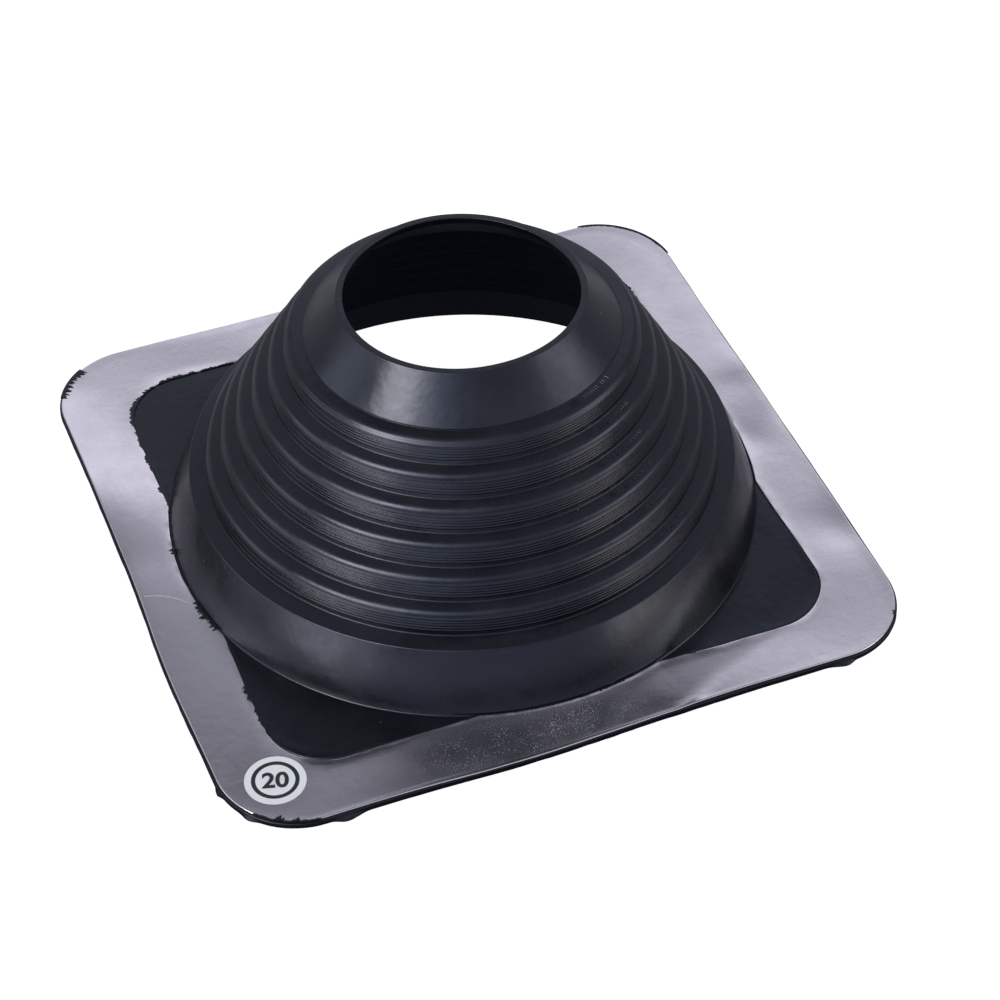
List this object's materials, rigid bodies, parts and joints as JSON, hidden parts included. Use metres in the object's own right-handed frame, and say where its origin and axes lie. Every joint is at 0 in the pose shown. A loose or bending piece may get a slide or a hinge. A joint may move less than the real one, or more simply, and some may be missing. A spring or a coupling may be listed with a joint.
{
  "type": "pipe flashing boot",
  "caption": "Black rubber pipe flashing boot with a stepped cone on a square flange and a soft aluminium band round the rim.",
  "frame": {"origin": "on the pipe axis, in the plane of the flange's underside", "axes": "+Z along the pipe axis, away from the roof; X and Y along the flange's sides, with the label on the corner towards -X and -Y"},
  "size_m": [0.3112, 0.3112, 0.1258],
  "materials": {
    "rubber": "semi-matte moulded EPDM rubber",
    "aluminium": "soft rolled sheet, satin",
    "label": "printed white vinyl sticker"
  },
  "bodies": {
    "root": {"rubber_boot": "rubber", "aluminium_band": "aluminium", "round_label": "label"}
  },
  "joints": []
}
